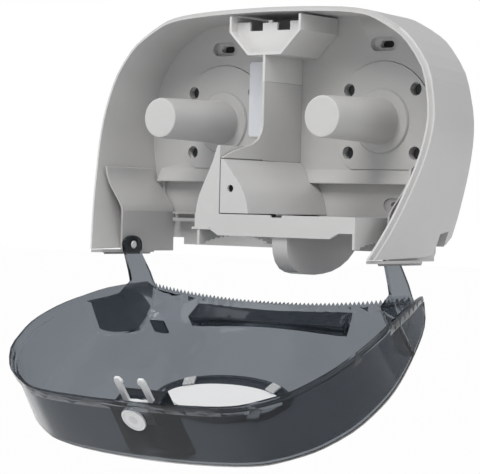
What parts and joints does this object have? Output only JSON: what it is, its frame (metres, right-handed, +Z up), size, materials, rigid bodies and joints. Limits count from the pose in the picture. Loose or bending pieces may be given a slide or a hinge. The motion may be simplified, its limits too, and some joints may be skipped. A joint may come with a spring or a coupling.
{
  "type": "double roll toilet tissue dispenser",
  "caption": "Wall-mounted side-by-side roll dispenser with a tinted drop-down cover, roll spindles and a sliding selector shutter.",
  "frame": {"origin": "on the rear face that lies against the wall, midway between the two spindles, at the height of their axes", "axes": "+X right seen from the front, +Y into the wall, +Z up; the cover is at rest open, as in the picture"},
  "size_m": [0.3556, 0.2446, 0.3807],
  "materials": {
    "grey_abs": "satin moulded grey",
    "insert_abs": "satin moulded grey",
    "smoke_polycarbonate": "clear smoke tint, glossy",
    "dark_smoke": "dark smoke, glossy",
    "white_acetal": "smooth white",
    "label_film": "white film",
    "steel": "bright zinc",
    "dark_steel": "black oxide"
  },
  "bodies": {
    "root": {"back_housing": "grey_abs", "spindle_left": "grey_abs", "spindle_right": "grey_abs", "spindle_screw_left": "steel", "spindle_screw_right": "steel", "fixing_screw_left_1": "dark_steel", "fixing_screw_left_2": "dark_steel", "fixing_screw_left_3": "dark_steel", "fixing_screw_left_4": "dark_steel", "fixing_screw_right_1": "dark_steel", "fixing_screw_right_2": "dark_steel", "fixing_screw_right_3": "dark_steel", "fixing_screw_right_4": "dark_steel", "center_column": "grey_abs", "latch_bracket": "grey_abs", "divider_hood": "grey_abs", "guide_rail": "grey_abs", "detent_spring_left": "steel", "detent_spring_right": "steel", "hinge_insert_left": "insert_abs", "hinge_insert_right": "insert_abs", "hinge_pin_left": "white_acetal", "hinge_pin_right": "white_acetal", "instruction_label": "label_film"},
    "cover": {"cover_shell": "smoke_polycarbonate", "cover_trough": "dark_smoke", "cover_tab": "dark_smoke", "badge_ring": "dark_smoke", "badge_disc": "white_acetal", "badge_clip_1": "white_acetal", "badge_clip_2": "white_acetal", "badge_clip_3": "white_acetal", "badge_clip_4": "white_acetal", "lock_housing": "dark_smoke", "lock_spring": "steel"},
    "lock": {"latch_fork": "white_acetal", "lock_button": "white_acetal"},
    "selector": {"selector_shutter": "grey_abs", "selector_handle": "insert_abs"}
  },
  "joints": [
    {"name": "cover_hinge", "type": "hinge", "parent": "root", "child": "cover", "pos_m": [0, -0.074, -0.1125], "axis": [-1, 0, 0], "range_deg": [0, 127.4]},
    {"name": "lock_press", "type": "slide", "parent": "cover", "child": "lock", "axis": [0, 0.7944, 0.6074], "range_m": [0, 0.002], "stiffness_N_per_m": 400, "springref_m": -0.002, "deforming": ["lock_spring"]},
    {"name": "selector_slide", "type": "slide", "parent": "root", "child": "selector", "axis": [1, 0, 0], "range_m": [-0.1065, 0]}
  ]
}
